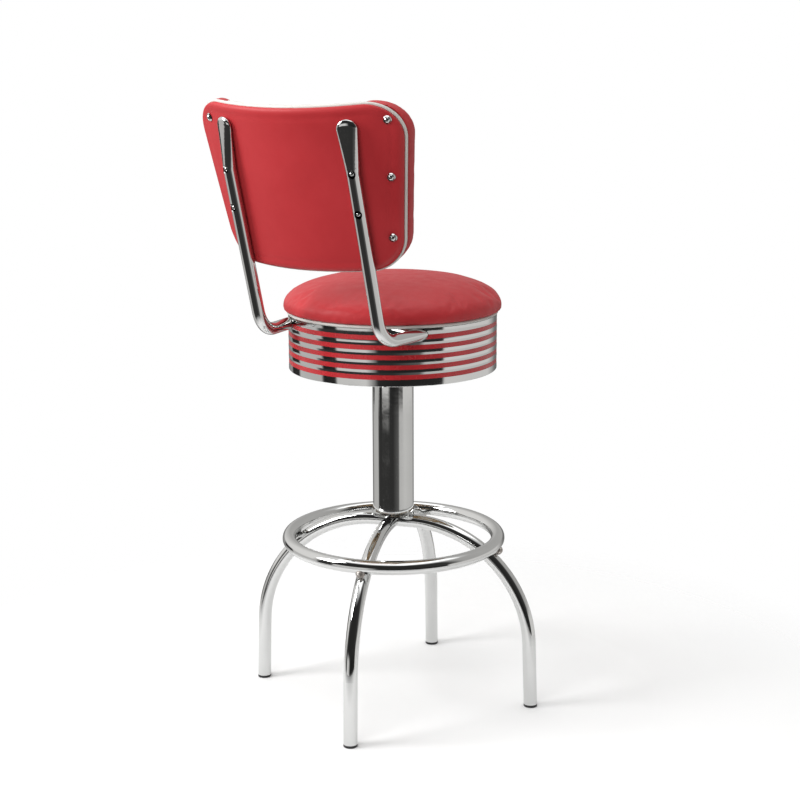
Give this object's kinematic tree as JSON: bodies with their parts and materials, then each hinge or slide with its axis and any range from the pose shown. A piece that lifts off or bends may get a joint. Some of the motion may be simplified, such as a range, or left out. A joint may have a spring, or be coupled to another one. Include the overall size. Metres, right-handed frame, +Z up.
{
  "type": "adjustable swivel stool",
  "caption": "Tall counter stool: four bowed tube legs with a foot ring, round column, ribbed bright skirt round a padded round seat, and a padded curved back on two bent tubes.",
  "frame": {"origin": "on the floor, under the middle of the stool's bounding box; the column stands 43.4 mm in front of it", "axes": "+Z up along the column, the sitter faces -Y, the back stands on the +Y side"},
  "size_m": [0.5426, 0.6293, 1.1337],
  "materials": {
    "chrome": "bright polished chrome plate",
    "weld": "plated weld bead, slightly dull",
    "black_plastic": "matt black plastic",
    "nylon": "natural nylon",
    "bright_steel": "ground steel",
    "plated_steel": "zinc-plated steel",
    "fastener_steel": "zinc-plated fasteners",
    "plywood": "bare birch plywood",
    "foam": "polyurethane foam",
    "red_vinyl": "satin upholstery vinyl",
    "white_vinyl": "satin upholstery vinyl",
    "white_piping": "satin vinyl piping",
    "red_band": "gloss red plastic strip"
  },
  "bodies": {
    "base": {"long_leg": "chrome", "short_leg_right": "chrome", "short_leg_left": "chrome", "glides": "black_plastic", "foot_ring": "chrome", "foot_ring_welds": "weld", "hub_plate": "chrome", "column": "chrome", "column_bush": "nylon", "lock_bosses": "plated_steel", "lock_screws": "fastener_steel"},
    "post": {"inner_post": "bright_steel", "post_foot_bush": "nylon", "swivel_lower_plate": "plated_steel", "swivel_balls": "bright_steel", "ball_cage": "plated_steel", "king_bolt": "fastener_steel", "king_nut": "fastener_steel"},
    "seat": {"swivel_top_plate": "plated_steel", "plate_bolts": "fastener_steel", "tee_nuts": "fastener_steel", "skirt": "chrome", "groove_bands": "red_band", "skirt_screws": "fastener_steel", "seat_board": "plywood", "seat_foam": "foam", "seat_cover": "red_vinyl", "seat_welt": "white_piping", "back_tube_left": "chrome", "back_tube_right": "chrome", "tube_clamps": "plated_steel", "clamp_screws": "fastener_steel", "tube_bolts": "chrome", "rear_panel": "red_vinyl", "back_board": "plywood", "back_welt": "white_piping", "back_foam": "foam", "back_cover_centre": "white_vinyl", "back_cover_right": "red_vinyl", "back_cover_left": "red_vinyl", "back_screws": "chrome", "screw_cups": "chrome"}
  },
  "joints": [
    {"name": "seat_height", "type": "slide", "parent": "base", "child": "post", "axis": [0, 0, 1], "range_m": [0, 0.1]},
    {"name": "seat_swivel", "type": "hinge", "parent": "post", "child": "seat", "pos_m": [0, -0.0434, 0.731], "axis": [0, 0, 1], "continuous": true}
  ]
}
